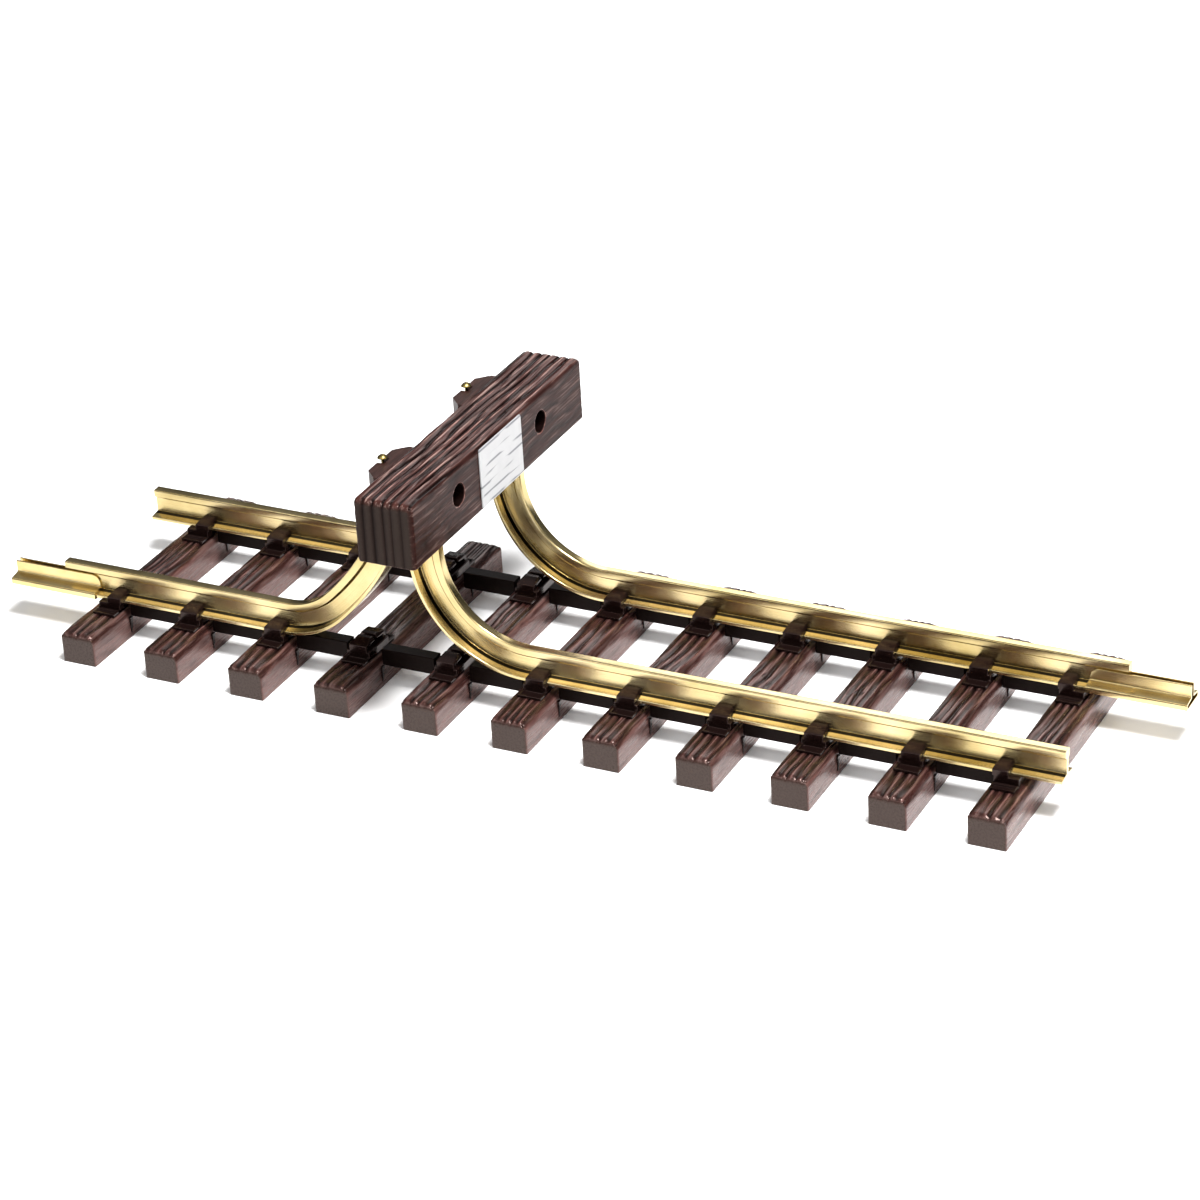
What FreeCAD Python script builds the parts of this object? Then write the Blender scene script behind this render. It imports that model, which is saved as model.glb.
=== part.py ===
"""Garden railway buffer stop: bent brass rails on sleepers carrying a buffer beam.

Units are millimetres. X runs along the track with the open, train side at +X,
Y runs across the track and Z points up. The origin is on the resting plane,
midway between the rail ends and midway between the two rails.
"""
import FreeCAD, Part
import math
import os

V = FreeCAD.Vector

# Track
GAUGE = 45.0                    # between the inner faces of the rail heads
RAIL_BASE_Z = 11.5              # underside of the rail foot
RAIL_OVERHANG = 14.5            # rail past the middle of the end sleepers, on average
SLEEPER_COUNT = 11
SLEEPER_PITCH = 27.1
SLEEPER_ROW_X = 0.9             # the row of sleepers sits off the middle by this

# Rail section
RAIL_HEIGHT = 8.4
HEAD_WIDTH = 3.0
HEAD_DEPTH = 2.1
HEAD_CHAMFER = 0.35
HEAD_FILLET_DROP = 0.6          # slope under the head down to the web
WEB_THICKNESS = 1.2
FOOT_WIDTH = 8.0
FOOT_EDGE = 0.9
FOOT_SLOPE_RISE = 0.5

# Sleepers
SLEEPER_LENGTH = 91.5
SLEEPER_WIDTH = 10.7
SLEEPER_HEIGHT = 9.2
SLEEPER_END_CHAMFER = 1.2
SLEEPER_EDGE_CHAMFER = 0.5
RIB_WIDTH = 1.0                 # upright ribs on the sleeper sides under the rails
RIB_PROUD = 0.6
RIB_BOTTOM_Z = 1.5

# Chairs that hold the rail foot on each sleeper
PAD_LENGTH_X = 7.0              # the pad under the foot, also the length of the plates
PLATE_REACH_Y = 9.0             # outer end of the low plates, from the middle of the rail
PLATE_THICKNESS = 0.3
PLATE_RIM_WALL = 0.7            # raised rim round the three outer sides of a low plate
PLATE_RIM_HEIGHT = 0.8
CLIP_BASE_WIDTH = 5.4
CLIP_TOP_WIDTH = 4.2
CLIP_WALL = 1.5                 # outside the edge of the foot
CLIP_SHOULDER = 1.8             # height of the outer wall above the rail base
CLIP_TOP = 2.7                  # highest point above the rail base
CLIP_TOP_FLAT = 1.2
END_PLATE_SHIFT = 0.9           # end chairs sit closer to the middle of the track
END_CLIP_SHIFT = 2.6
END_CLIP_BASE_WIDTH = 4.4
END_CLIP_TOP_WIDTH = 3.2
END_FRAME_LENGTH_Y = 2.8        # closed frame instead of the rim on the end plates
FIT = 0.05                      # clearance round the rail

# Webs between the sleepers under each rail
STRINGER_WIDTH = 4.0
STRINGER_BOTTOM_Z = 6.5

# Rail bends. Radii are at the underside of the foot, angles in degrees.
FRONT_LAST_SLEEPER = 6          # the last sleeper that holds the front rails
FRONT_BEND_AFTER = 3.5          # bend starts this far past the middle of that sleeper
FRONT_BENDS = ((33.5, 90.0),)
REAR_LAST_SLEEPER = 3
REAR_BEND_AFTER = 2.5
REAR_BEND_SHAPE = ((27.0, 43.0), (84.0, 17.0), (46.0, 19.0))    # sized to reach the beam
REAR_FOOT_INSET = 0.7           # rear rail foot past the beam's back face at its underside

# Buffer beam
BEAM_LENGTH = 100.0
BEAM_DEPTH = 17.5
BEAM_HEIGHT = 18.6
BEAM_BOTTOM_Z = 52.0
BEAM_EDGE_CHAMFER = 0.6
SOCKET_DEPTH = 6.0              # how far the rail ends reach up into the beam
SOCKET_WALL = 2.3               # beam left behind the foot of the front rails
SOCKET_CLEARANCE = 0.3

# Clamp blocks behind the beam
CLAMP_WIDTH = 20.0
CLAMP_DEPTH = 5.9
CLAMP_TOP_DROP = 1.8            # below the top of the beam
CLAMP_CORNER = 3.4
NOTCH_WIDTH = 3.2
NOTCH_DEPTH = 2.0
NOTCH_HEIGHT = 1.6
HEAD_SLOT_WIDTH = 3.4

# Clamp screws
SCREW_Z_ABOVE_BEAM_BOTTOM = 10.3
COUNTERBORE_RADIUS = 3.1
COUNTERBORE_DEPTH = 9.0
SCREW_HEAD_RADIUS = 2.75
SCREW_HEAD_LENGTH = 2.4
SCREW_RADIUS = 1.5
SCREW_SLOT_WIDTH = 0.8
SCREW_SLOT_DEPTH = 0.9

# Domed pins on the clamp blocks
PIN_STEM_RADIUS = 0.45
PIN_STEM_SEAT = 2.0
PIN_STEM_FREE = 2.4
PIN_DOME_RADIUS = 1.5
PIN_DOME_HEIGHT = 1.0
PIN_INSET = 0.8                 # from the back face of the clamp block

# Label plate
LABEL_WIDTH = 24.2
LABEL_THICKNESS = 0.4

# Rail joiners
JOINER_OVERLAP = 11.0
JOINER_REACH = 17.0
JOINER_SHEET = 0.5
JOINER_FLANGE_TOP = 5.4         # above the rail base
JOINER_CORNER = 2.5             # rounding of the flanges' upper corners on the rail's side


def sleeper_x(number):
    """Middle of a sleeper, counted from 1 at the buffer end."""
    middle = (SLEEPER_COUNT + 1) / 2.0
    return SLEEPER_ROW_X + (number - middle) * SLEEPER_PITCH


SIDES = (("near", -1.0), ("far", 1.0))
RAIL_Y = (GAUGE + HEAD_WIDTH) / 2.0
PAD_HALF_Y = FOOT_WIDTH / 2.0 + FIT + CLIP_WALL
RAIL_END_X = (sleeper_x(SLEEPER_COUNT) - sleeper_x(1)) / 2.0 + RAIL_OVERHANG
FRONT_BEND_X = sleeper_x(FRONT_LAST_SLEEPER) - FRONT_BEND_AFTER
REAR_BEND_X = sleeper_x(REAR_LAST_SLEEPER) + REAR_BEND_AFTER
FRONT_FOOT_X = FRONT_BEND_X - sum(radius for radius, _ in FRONT_BENDS)
BEAM_BACK_X = FRONT_FOOT_X - SOCKET_WALL
BEAM_FRONT_X = BEAM_BACK_X + BEAM_DEPTH
BEAM_TOP_Z = BEAM_BOTTOM_Z + BEAM_HEIGHT
RAIL_TOP_END_Z = BEAM_BOTTOM_Z + SOCKET_DEPTH
SCREW_Z = BEAM_BOTTOM_Z + SCREW_Z_ABOVE_BEAM_BOTTOM
CLAMP_TOP_Z = BEAM_TOP_Z - CLAMP_TOP_DROP
CLAMP_BACK_X = BEAM_BACK_X - CLAMP_DEPTH
TINY = 1e-6
X_AXIS = V(1.0, 0.0, 0.0)
Z_AXIS = V(0.0, 0.0, 1.0)


def box(x_min, x_max, y_min, y_max, z_min, z_max):
    """A box given by its limits along each axis."""
    size = (x_max - x_min, y_max - y_min, z_max - z_min)
    return Part.makeBox(size[0], size[1], size[2], V(x_min, y_min, z_min))


def prism(points, direction):
    """The closed outline through the points, swept along the direction."""
    outline = Part.makePolygon(list(points) + [points[0]])
    return Part.Face(outline).extrude(direction)


def save(name, shape):
    shape.exportStep(os.path.join("parts", name + ".step"))


def mirrored_outline(half):
    """A closed outline in (y, z) from its +Y half, listed from bottom to top."""
    return half + [(-y, z) for y, z in reversed(half)]


def inward_shift(number, amount):
    """Shift toward the middle of the track for the first and last sleepers."""
    if number == 1:
        return amount
    if number == SLEEPER_COUNT:
        return -amount
    return 0.0


def rail_outline():
    """The rail section as (y, z) points with z = 0 under the foot."""
    head_bottom = RAIL_HEIGHT - HEAD_DEPTH
    web = WEB_THICKNESS / 2.0
    head = HEAD_WIDTH / 2.0
    half = [
        (FOOT_WIDTH / 2.0, 0.0),
        (FOOT_WIDTH / 2.0, FOOT_EDGE),
        (web, FOOT_EDGE + FOOT_SLOPE_RISE),
        (web, head_bottom - HEAD_FILLET_DROP),
        (head, head_bottom),
        (head, RAIL_HEIGHT - HEAD_CHAMFER),
        (head - HEAD_CHAMFER, RAIL_HEIGHT),
    ]
    return mirrored_outline(half)


def bent_rail(straight, bends):
    """A rail that starts at the origin, runs along +X and bends up in its own plane."""
    points = [V(0.0, y, z) for y, z in rail_outline()]
    section = Part.Face(Part.makePolygon(points + [points[0]]))
    pieces = [section.extrude(V(straight, 0.0, 0.0))]
    section.translate(V(straight, 0.0, 0.0))
    foot = V(straight, 0.0, 0.0)
    heading = 0.0
    for radius, angle in bends:
        up = V(-math.sin(heading), 0.0, math.cos(heading))
        centre = foot + up * radius
        pieces.append(section.revolve(centre, V(0.0, -1.0, 0.0), angle))
        section.rotate(centre, V(0.0, -1.0, 0.0), angle)
        heading += math.radians(angle)
        foot = centre + V(math.sin(heading), 0.0, -math.cos(heading)) * radius
    rise = (RAIL_TOP_END_Z - RAIL_BASE_Z - foot.z + RAIL_HEIGHT) / math.sin(heading)
    pieces.append(section.extrude(V(math.cos(heading), 0.0, math.sin(heading)) * rise))
    rail = pieces[0].fuse(pieces[1:]).removeSplitter()
    wide = 4.0 * RAIL_END_X
    top = RAIL_TOP_END_Z - RAIL_BASE_Z
    return rail.common(box(-wide, wide, -wide, wide, -wide, top))


def fitted_rear_bends():
    """The rear bends, scaled together so that the rail meets the beam's back face."""
    run = BEAM_BACK_X + REAR_FOOT_INSET - REAR_BEND_X
    rise = BEAM_BOTTOM_Z - RAIL_BASE_Z
    heading = 0.0
    shape_run = 0.0
    shape_rise = 0.0
    for radius, angle in REAR_BEND_SHAPE:
        turned = heading + math.radians(angle)
        shape_run += radius * (math.sin(turned) - math.sin(heading))
        shape_rise += radius * (math.cos(heading) - math.cos(turned))
        heading = turned
    lean = math.cos(heading) / math.sin(heading)
    scale = (run - lean * rise) / (shape_run - lean * shape_rise)
    return [(radius * scale, angle) for radius, angle in REAR_BEND_SHAPE]


def front_rail(side):
    rail = bent_rail(RAIL_END_X - FRONT_BEND_X, FRONT_BENDS)
    rail = rail.mirror(V(0.0, 0.0, 0.0), X_AXIS)
    rail.translate(V(RAIL_END_X, side * RAIL_Y, RAIL_BASE_Z))
    return rail


def rear_rail(side):
    rail = bent_rail(REAR_BEND_X + RAIL_END_X, fitted_rear_bends())
    rail.translate(V(-RAIL_END_X, side * RAIL_Y, RAIL_BASE_Z))
    return rail


def clip(base_width, top_width):
    """One clip of a chair, leaning over the +Y half of the foot; z = 0 at the rail base."""
    foot_side = FOOT_WIDTH / 2.0 + FIT
    web_side = WEB_THICKNESS / 2.0 + FIT
    slope_z = FOOT_EDGE + FOOT_SLOPE_RISE
    outline = [
        (foot_side + CLIP_WALL, 0.0),
        (foot_side + CLIP_WALL, CLIP_SHOULDER),
        (web_side + CLIP_TOP_FLAT, CLIP_TOP),
        (web_side, CLIP_TOP),
        (web_side, slope_z + FIT),
        (foot_side, FOOT_EDGE + FIT),
        (foot_side, 0.0),
    ]
    base = base_width / 2.0
    top = top_width / 2.0
    body = prism([V(-base, y, z) for y, z in outline], V(base_width, 0.0, 0.0))
    front = [
        V(-base, 0.0, 0.0),
        V(base, 0.0, 0.0),
        V(base, 0.0, CLIP_SHOULDER),
        V(top, 0.0, CLIP_TOP),
        V(-top, 0.0, CLIP_TOP),
        V(-base, 0.0, CLIP_SHOULDER),
    ]
    return body.common(prism(front, V(0.0, FOOT_WIDTH, 0.0)))


def low_plate(x, side, end, framed):
    """The low plate outside one clip, with an open rim or a closed frame on it."""
    pad_y = side * RAIL_Y + end * PAD_HALF_Y
    outer_y = side * RAIL_Y + end * PLATE_REACH_Y
    y_min = min(pad_y, outer_y)
    y_max = max(pad_y, outer_y)
    x_min = x - PAD_LENGTH_X / 2.0
    x_max = x + PAD_LENGTH_X / 2.0
    wall = PLATE_RIM_WALL
    plate_top = SLEEPER_HEIGHT + PLATE_THICKNESS
    rim_top = SLEEPER_HEIGHT + PLATE_RIM_HEIGHT
    plate = box(x_min, x_max, y_min, y_max, SLEEPER_HEIGHT, plate_top)
    inner_end = outer_y - end * END_FRAME_LENGTH_Y if framed else pad_y
    pocket_end = inner_end + end * wall if framed else pad_y
    pocket_outer = outer_y - end * wall
    rim = box(x_min, x_max, min(inner_end, outer_y), max(inner_end, outer_y),
              SLEEPER_HEIGHT, rim_top)
    pocket = box(x_min + wall, x_max - wall, min(pocket_end, pocket_outer),
                 max(pocket_end, pocket_outer), plate_top, rim_top)
    return plate.fuse(rim.cut(pocket))


def chair(number, side):
    """Pad with two clips and two low plates for one rail, on a numbered sleeper."""
    x = sleeper_x(number)
    plate_x = x + inward_shift(number, END_PLATE_SHIFT)
    clip_x = x + inward_shift(number, END_CLIP_SHIFT)
    y = side * RAIL_Y
    half_x = PAD_LENGTH_X / 2.0
    pad = box(plate_x - half_x, plate_x + half_x, y - PAD_HALF_Y, y + PAD_HALF_Y,
              SLEEPER_HEIGHT, RAIL_BASE_Z)
    framed = number in (1, SLEEPER_COUNT)
    widths = (CLIP_BASE_WIDTH, CLIP_TOP_WIDTH)
    if framed:
        widths = (END_CLIP_BASE_WIDTH, END_CLIP_TOP_WIDTH)
    pieces = []
    for end, turn in ((1.0, 0.0), (-1.0, 180.0)):
        piece = clip(*widths)
        piece.rotate(V(0.0, 0.0, 0.0), Z_AXIS, turn)
        piece.translate(V(clip_x, y, RAIL_BASE_Z))
        pieces.append(piece)
        pieces.append(low_plate(plate_x, side, end, framed))
    return pad.fuse(pieces).removeSplitter()


def chairs(side):
    """The separate chairs of one rail, one on each sleeper."""
    return Part.makeCompound([chair(n, side) for n in range(1, SLEEPER_COUNT + 1)])


def sleeper_block(x):
    """The plain sleeper: a beam with its upper edges taken off."""
    half_x = SLEEPER_WIDTH / 2.0
    half_y = SLEEPER_LENGTH / 2.0
    side = SLEEPER_EDGE_CHAMFER
    across = [
        V(x - half_x, -half_y, 0.0),
        V(x + half_x, -half_y, 0.0),
        V(x + half_x, -half_y, SLEEPER_HEIGHT - side),
        V(x + half_x - side, -half_y, SLEEPER_HEIGHT),
        V(x - half_x + side, -half_y, SLEEPER_HEIGHT),
        V(x - half_x, -half_y, SLEEPER_HEIGHT - side),
    ]
    end = SLEEPER_END_CHAMFER
    along = [
        V(x - half_x, -half_y, 0.0),
        V(x - half_x, half_y, 0.0),
        V(x - half_x, half_y, SLEEPER_HEIGHT - end),
        V(x - half_x, half_y - end, SLEEPER_HEIGHT),
        V(x - half_x, -half_y + end, SLEEPER_HEIGHT),
        V(x - half_x, -half_y, SLEEPER_HEIGHT - end),
    ]
    block = prism(across, V(0.0, SLEEPER_LENGTH, 0.0))
    return block.common(prism(along, V(SLEEPER_WIDTH, 0.0, 0.0)))


def sleeper(number):
    """A sleeper with upright ribs on each side that faces another sleeper."""
    x = sleeper_x(number)
    pieces = []
    half = SLEEPER_WIDTH / 2.0
    reach_back = half if number == 1 else half + RIB_PROUD
    reach_front = half if number == SLEEPER_COUNT else half + RIB_PROUD
    rib_y = RAIL_Y + STRINGER_WIDTH / 2.0 + RIB_WIDTH / 2.0
    for _, side in SIDES:
        y_min = side * rib_y - RIB_WIDTH / 2.0
        pieces.append(box(x - reach_back, x + reach_front, y_min, y_min + RIB_WIDTH,
                          RIB_BOTTOM_Z, SLEEPER_HEIGHT - SLEEPER_END_CHAMFER))
    return sleeper_block(x).fuse(pieces).removeSplitter()


def stringers(side):
    """The separate webs under one rail, one in each gap between sleepers."""
    webs = []
    half = STRINGER_WIDTH / 2.0
    for number in range(1, SLEEPER_COUNT):
        x_min = sleeper_x(number) + SLEEPER_WIDTH / 2.0
        x_max = sleeper_x(number + 1) - SLEEPER_WIDTH / 2.0
        webs.append(box(x_min, x_max, side * RAIL_Y - half, side * RAIL_Y + half,
                        STRINGER_BOTTOM_Z, RAIL_BASE_Z))
    return Part.makeCompound(webs)


def beam():
    """The buffer beam with sockets for the rail ends and counterbored screw holes."""
    half = BEAM_LENGTH / 2.0
    body = box(BEAM_BACK_X, BEAM_FRONT_X, -half, half, BEAM_BOTTOM_Z, BEAM_TOP_Z)
    body = body.makeChamfer(BEAM_EDGE_CHAMFER, body.Edges)
    socket_half = FOOT_WIDTH / 2.0 + SOCKET_CLEARANCE
    head_half = HEAD_WIDTH / 2.0 + SOCKET_CLEARANCE
    foot_front = FRONT_FOOT_X + FOOT_EDGE + FOOT_SLOPE_RISE + SOCKET_CLEARANCE
    head_front = FRONT_FOOT_X + RAIL_HEIGHT + SOCKET_CLEARANCE
    under = BEAM_BOTTOM_Z - BEAM_HEIGHT
    for _, side in SIDES:
        y = side * RAIL_Y
        foot_slot = box(BEAM_BACK_X - BEAM_DEPTH, foot_front,
                        y - socket_half, y + socket_half, under, RAIL_TOP_END_Z)
        head_slot = box(foot_front, head_front,
                        y - head_half, y + head_half, under, RAIL_TOP_END_Z)
        bore = Part.makeCylinder(SCREW_RADIUS + FIT, 2.0 * BEAM_DEPTH,
                                 V(BEAM_FRONT_X, y, SCREW_Z), -X_AXIS)
        counterbore = Part.makeCylinder(COUNTERBORE_RADIUS, COUNTERBORE_DEPTH,
                                        V(BEAM_FRONT_X, y, SCREW_Z), -X_AXIS)
        body = body.cut([foot_slot.fuse(head_slot), bore.fuse(counterbore)])
    return body


def clamp(side):
    """The block behind the beam that closes the socket round the rear rail."""
    y = side * RAIL_Y
    half = CLAMP_WIDTH / 2.0
    corner = CLAMP_CORNER
    outline = [
        V(BEAM_BACK_X, y - half, BEAM_BOTTOM_Z),
        V(BEAM_BACK_X, y + half, BEAM_BOTTOM_Z),
        V(CLAMP_BACK_X + corner, y + half, BEAM_BOTTOM_Z),
        V(CLAMP_BACK_X, y + half - corner, BEAM_BOTTOM_Z),
        V(CLAMP_BACK_X, y - half + corner, BEAM_BOTTOM_Z),
        V(CLAMP_BACK_X + corner, y - half, BEAM_BOTTOM_Z),
    ]
    block = prism(outline, V(0.0, 0.0, CLAMP_TOP_Z - BEAM_BOTTOM_Z))
    slot_half = HEAD_SLOT_WIDTH / 2.0
    slot = box(CLAMP_BACK_X, BEAM_BACK_X, y - slot_half, y + slot_half,
               BEAM_BOTTOM_Z, RAIL_TOP_END_Z)
    foot_half = FOOT_WIDTH / 2.0 + SOCKET_CLEARANCE
    foot_back = BEAM_BACK_X - FOOT_EDGE - FOOT_SLOPE_RISE - SOCKET_CLEARANCE
    foot_slot = box(foot_back, BEAM_BACK_X, y - foot_half, y + foot_half,
                    BEAM_BOTTOM_Z, RAIL_TOP_END_Z)
    notch_half = NOTCH_WIDTH / 2.0
    notch = box(CLAMP_BACK_X, CLAMP_BACK_X + NOTCH_DEPTH, y - notch_half, y + notch_half,
                CLAMP_TOP_Z - NOTCH_HEIGHT, CLAMP_TOP_Z)
    seat_z = CLAMP_TOP_Z - NOTCH_HEIGHT - PIN_STEM_SEAT
    seat = Part.makeCylinder(PIN_STEM_RADIUS, PIN_STEM_SEAT,
                             V(CLAMP_BACK_X + PIN_INSET, y, seat_z))
    bore = Part.makeCylinder(SCREW_RADIUS, CLAMP_DEPTH,
                             V(BEAM_BACK_X, y, SCREW_Z), -X_AXIS)
    return block.cut([slot.fuse(foot_slot), notch.fuse(seat), bore])


def screw(side):
    """Slotted cheese-head screw from the counterbore into the clamp block."""
    y = side * RAIL_Y
    seat_x = BEAM_FRONT_X - COUNTERBORE_DEPTH
    front_x = seat_x + SCREW_HEAD_LENGTH
    head = Part.makeCylinder(SCREW_HEAD_RADIUS, SCREW_HEAD_LENGTH,
                             V(seat_x, y, SCREW_Z), X_AXIS)
    shank = Part.makeCylinder(SCREW_RADIUS, seat_x - CLAMP_BACK_X,
                              V(seat_x, y, SCREW_Z), -X_AXIS)
    half = SCREW_SLOT_WIDTH / 2.0
    slot = box(front_x - SCREW_SLOT_DEPTH, front_x,
               y - SCREW_HEAD_RADIUS, y + SCREW_HEAD_RADIUS, SCREW_Z - half, SCREW_Z + half)
    return head.fuse(shank).cut(slot)


def pin(side):
    """Round pin with a domed head, standing in the notch of the clamp block."""
    x = CLAMP_BACK_X + PIN_INSET
    y = side * RAIL_Y
    bottom_z = CLAMP_TOP_Z - NOTCH_HEIGHT - PIN_STEM_SEAT
    dome_z = CLAMP_TOP_Z - NOTCH_HEIGHT + PIN_STEM_FREE
    stem = Part.makeCylinder(PIN_STEM_RADIUS, dome_z - bottom_z, V(x, y, bottom_z))
    sphere_radius = (PIN_DOME_RADIUS ** 2 + PIN_DOME_HEIGHT ** 2) / (2.0 * PIN_DOME_HEIGHT)
    ball = Part.makeSphere(sphere_radius, V(x, y, dome_z + PIN_DOME_HEIGHT - sphere_radius))
    keep = Part.makeCylinder(2.0 * PIN_DOME_RADIUS, 2.0 * PIN_DOME_HEIGHT, V(x, y, dome_z))
    return stem.fuse(ball.common(keep))


def label():
    half = LABEL_WIDTH / 2.0
    return box(BEAM_FRONT_X, BEAM_FRONT_X + LABEL_THICKNESS, -half, half,
               BEAM_BOTTOM_Z + BEAM_EDGE_CHAMFER, BEAM_TOP_Z - BEAM_EDGE_CHAMFER)


def joiner_half_outline():
    """Half of the folded sheet as (y, z) points with z = 0 at the rail base."""
    foot = FOOT_WIDTH / 2.0 + FIT
    web = WEB_THICKNESS / 2.0 + FIT
    edge_z = FOOT_EDGE + FIT
    slope_z = FOOT_EDGE + FOOT_SLOPE_RISE + FIT
    return [
        (0.0, -JOINER_SHEET),
        (foot + JOINER_SHEET, -JOINER_SHEET),
        (foot + JOINER_SHEET, edge_z + JOINER_SHEET),
        (web + JOINER_SHEET, slope_z + JOINER_SHEET),
        (web + JOINER_SHEET, JOINER_FLANGE_TOP),
        (web, JOINER_FLANGE_TOP),
        (web, slope_z),
        (foot, edge_z),
        (foot, 0.0),
        (0.0, 0.0),
    ]


def joiner(end, side):
    """Folded sheet joiner on one rail end; half of it waits for the next rail."""
    x_inner = end * (RAIL_END_X - JOINER_OVERLAP)
    length = JOINER_OVERLAP + JOINER_REACH
    half = joiner_half_outline()
    sheet = None
    for mirror in (1.0, -1.0):
        points = [V(x_inner, mirror * y, z) for y, z in half]
        piece = prism(points, V(end * length, 0.0, 0.0))
        sheet = piece if sheet is None else sheet.fuse(piece)
    sheet = sheet.removeSplitter()
    sheet = sheet.makeFillet(JOINER_CORNER, [
        edge for edge in sheet.Edges
        if all(abs(v.X - x_inner) < TINY and abs(v.Z - JOINER_FLANGE_TOP) < TINY
               for v in edge.Vertexes)
    ])
    sheet.translate(V(0.0, side * RAIL_Y, RAIL_BASE_Z))
    return sheet


def main():
    os.makedirs("parts", exist_ok=True)
    for number in range(1, SLEEPER_COUNT + 1):
        save("sleeper_%02d" % number, sleeper(number))
    for name, side in SIDES:
        save("stringer_" + name, stringers(side))
        save("chairs_" + name, chairs(side))
        save("rail_front_" + name, front_rail(side))
        save("rail_rear_" + name, rear_rail(side))
        save("clamp_" + name, clamp(side))
        save("screw_" + name, screw(side))
        save("pin_" + name, pin(side))
    save("joiner_rear_near", joiner(-1.0, -1.0))
    save("joiner_front_far", joiner(1.0, 1.0))
    save("beam", beam())
    save("label", label())


main()
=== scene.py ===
"""Looks of the garden railway buffer stop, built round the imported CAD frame.

Lengths named in this file are millimetres unless a comment says otherwise. The frame
is in metres, so every mesh is scaled by MM when it is made.
"""
import math
from collections import namedtuple

import bpy
from mathutils import Matrix, Vector, noise


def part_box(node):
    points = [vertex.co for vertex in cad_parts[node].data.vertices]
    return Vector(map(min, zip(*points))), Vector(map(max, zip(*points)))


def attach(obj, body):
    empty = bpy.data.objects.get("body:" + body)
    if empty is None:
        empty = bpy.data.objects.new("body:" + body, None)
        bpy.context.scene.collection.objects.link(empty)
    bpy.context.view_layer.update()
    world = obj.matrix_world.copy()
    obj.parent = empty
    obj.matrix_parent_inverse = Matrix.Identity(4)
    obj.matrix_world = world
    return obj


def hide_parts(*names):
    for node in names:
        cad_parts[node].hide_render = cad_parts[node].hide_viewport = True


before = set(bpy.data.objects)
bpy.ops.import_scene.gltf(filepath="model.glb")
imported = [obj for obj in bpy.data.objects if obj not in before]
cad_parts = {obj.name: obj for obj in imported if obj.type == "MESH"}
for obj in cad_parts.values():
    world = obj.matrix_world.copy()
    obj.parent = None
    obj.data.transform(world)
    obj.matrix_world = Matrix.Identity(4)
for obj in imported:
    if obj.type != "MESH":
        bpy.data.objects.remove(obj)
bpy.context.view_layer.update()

MM = 0.001

# Rail section, as in the CAD part, with the roundings that a drawn rail has. Its corners
# stand in (across, up), from the middle of the rail's underside.
RAIL_HEIGHT = 8.4
HEAD_WIDTH = 3.0
HEAD_DEPTH = 2.1
HEAD_UNDERCUT = 0.6
WEB_THICKNESS = 1.2
FOOT_WIDTH = 8.0
FOOT_EDGE = 0.9
FOOT_SLOPE_RISE = 0.5
HEAD_ROUNDING = 0.5
HEAD_UNDER_ROUNDING = 0.25
WEB_FILLET = 0.45
FOOT_ROUNDING = 0.25

# Rail bends at the underside of the foot: (radius, degrees)
FRONT_BENDS = ((33.5, 90.0),)
REAR_BENDS = ((27.94, 43.0), (86.93, 17.0), (47.6, 19.0))
REAR_BEND_PAST_SLEEPER = 2.5    # from the middle of the third sleeper
BEND_STEP = 1.5                 # degrees

# Painted dark reflection: a line on the foot beside the web, measured from the middle of the rail
REFLECTION_LINE_FROM = 0.80
REFLECTION_LINE_TO = 1.95
REFLECTION_LINE_FADE = 0.15              # at both sides of the line
REFLECTION_LINE_MARGIN = 0.01            # finds the line's points in spite of rounding

# Joiner sheet, as in the CAD part
JOINER_SHEET = 0.5
JOINER_CORNER = 2.5             # the flanges' corners at the inner end
JOINER_CORNER_STEP = 10         # degrees
JOINER_STATIONS = 8             # along the rest of the length
FIT = 0.05

# Roundings of the grained blocks. The back is the side away from the open end.
Roundings = namedtuple("Roundings", "back_top front_top end_top upright bottom")
BEAM_ROUNDINGS = Roundings(1.0, 1.5, 1.9, 1.2, 0.6)
SLEEPER_ROUNDINGS = Roundings(1.1, 2.8, 1.8, 0.5, 0.2)

# Grid steps of the grained blocks in x, y and z, and how they close up at the edges
BEAM_GRID = (0.22, 0.6, 0.45)
SLEEPER_GRID = (0.26, 0.8, 0.7)
EDGE_ZONE = 1.3                 # times the largest rounding of the top
EDGE_STOPS = (0.0, 0.08, 0.18, 0.3, 0.44, 0.6, 0.8)     # shares of the edge zone

# Wood grain: the pitch of the ridges, and how far they wander in pitches
SLEEPER_RIDGES = (2.35, 0.8)
SLEEPER_FINE_RIDGES = (0.95, 0.6)
BEAM_RIDGES = (2.9, 0.6)
BEAM_SECOND_RIDGES = (1.6, 0.9)
BEAM_FINE_RIDGES = (0.95, 0.7)
BEAM_SIDE_RIDGES = (4.1, 1.4)
BEAM_END_RIDGES = (2.9, 0.5)

# Wood grain: the depth of the grooves
SLEEPER_GROOVE = 0.55
SLEEPER_END_GROOVE = 0.25       # added at a sleeper's ends
SLEEPER_FINE_GROOVE = 0.10
SLEEPER_SIDE_WAVE = 0.12
SLEEPER_END_DEPTH = 0.02
BEAM_GROOVE = 0.70
BEAM_SECOND_GROOVE = 0.36
BEAM_FINE_GROOVE = 0.12
BEAM_SIDE_GROOVE = 0.12
BEAM_SIDE_WAVE = 0.06
BEAM_END_GROOVE = 0.22

SLEEPER_COUNT = 11
WORN_END = 4.0                  # the grooves deepen over this length at a sleeper's ends
RIB_PROUD = 0.6                 # the CAD ribs stand this far out of the sleeper's sides
RIB_FOOT_PROUD = 0.15
RIB_ROOT = 0.5                  # the ribs reach this far into the sleeper
RIB_TOP_WIDTH = 1.5
RIB_FOOT_WIDTH = 0.3
RIB_Y = 26.5
RIB_BOTTOM_Z = 1.5
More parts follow.
